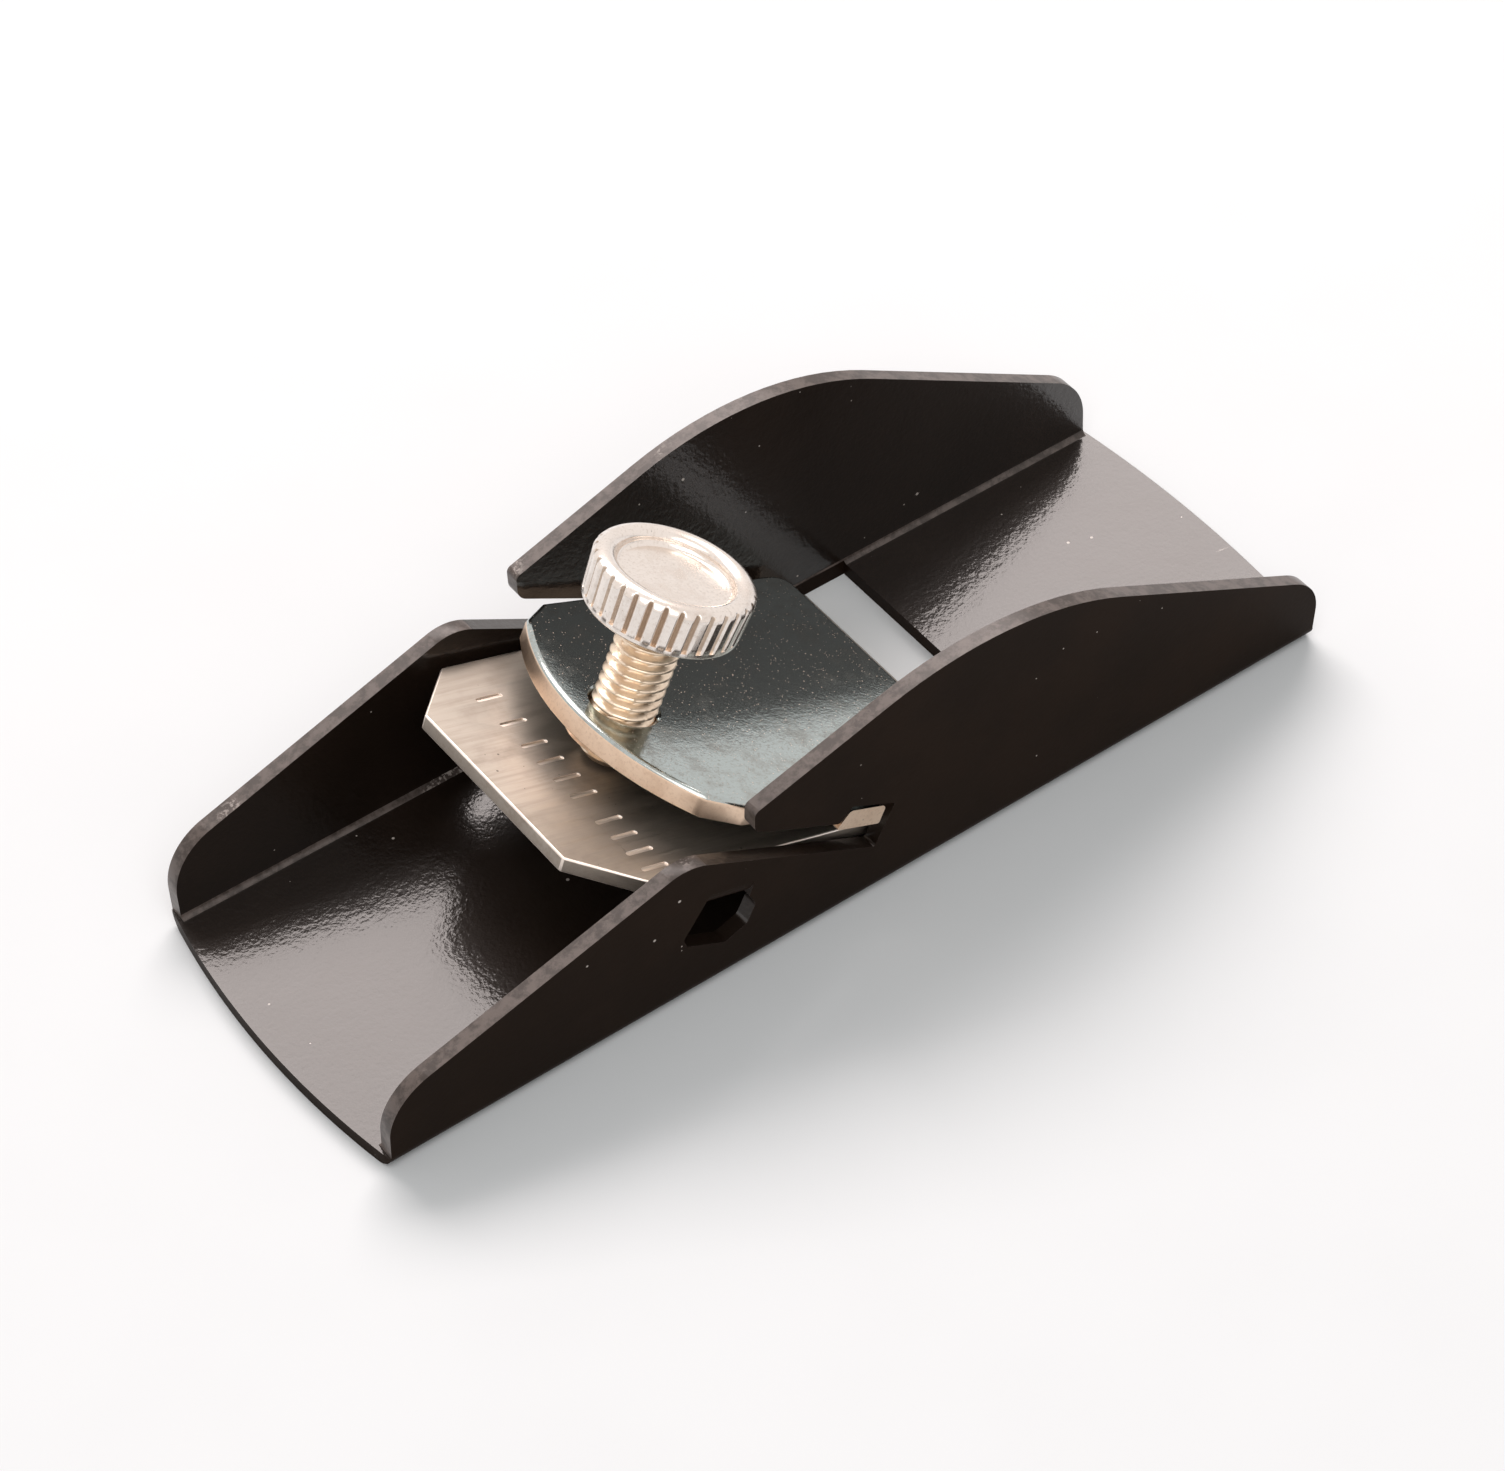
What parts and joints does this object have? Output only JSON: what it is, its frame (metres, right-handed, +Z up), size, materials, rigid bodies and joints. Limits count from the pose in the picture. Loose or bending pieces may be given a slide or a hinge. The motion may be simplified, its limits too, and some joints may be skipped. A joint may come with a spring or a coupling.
{
  "type": "trimming plane",
  "caption": "Small trimming plane of pressed black sheet steel, with a low-angle flat cutter held by a nickelled lever cap and a fluted thumbscrew.",
  "frame": {"origin": "on the sole's underside, midway along and across it", "axes": "+X from heel to toe along the sole, +Y across to the left cheek, +Z up from the sole"},
  "size_m": [0.085, 0.0302, 0.0277],
  "materials": {
    "black_enamel": "gloss",
    "cutter_steel": "satin",
    "nickel_plate": "gloss"
  },
  "bodies": {
    "body": {"plane_body": "black_enamel"},
    "blade": {"cutter": "cutter_steel"},
    "cap": {"lever_cap": "nickel_plate"},
    "screw": {"thumbscrew_shank": "nickel_plate"},
    "knob": {"thumbscrew_head": "nickel_plate"}
  },
  "joints": [
    {"name": "cutter_slide", "type": "slide", "parent": "body", "child": "blade", "axis": [0.9455, 0, -0.3256], "range_m": [-0.01, 0.0007]},
    {"name": "cap_tilt", "type": "hinge", "parent": "body", "child": "cap", "pos_m": [0.01109, 0, 0.00251], "axis": [0, -1, 0], "range_deg": [0, 2.75]},
    {"name": "screw_travel", "type": "slide", "parent": "cap", "child": "screw", "axis": [0.4226, 0, 0.9063], "range_m": [0, 0.0012]},
    {"name": "screw_turn", "type": "hinge", "parent": "screw", "child": "knob", "pos_m": [-0.00785, 0, 0.02199], "axis": [0.4226, 0, 0.9063], "range_deg": [0, 540]}
  ],
  "couplings": [
    {"joint": "screw_turn", "follows": "screw_travel", "rad_per_m": 7854},
    {"joint": "cap_tilt", "follows": "screw_travel", "rad_per_m": 39.37}
  ]
}
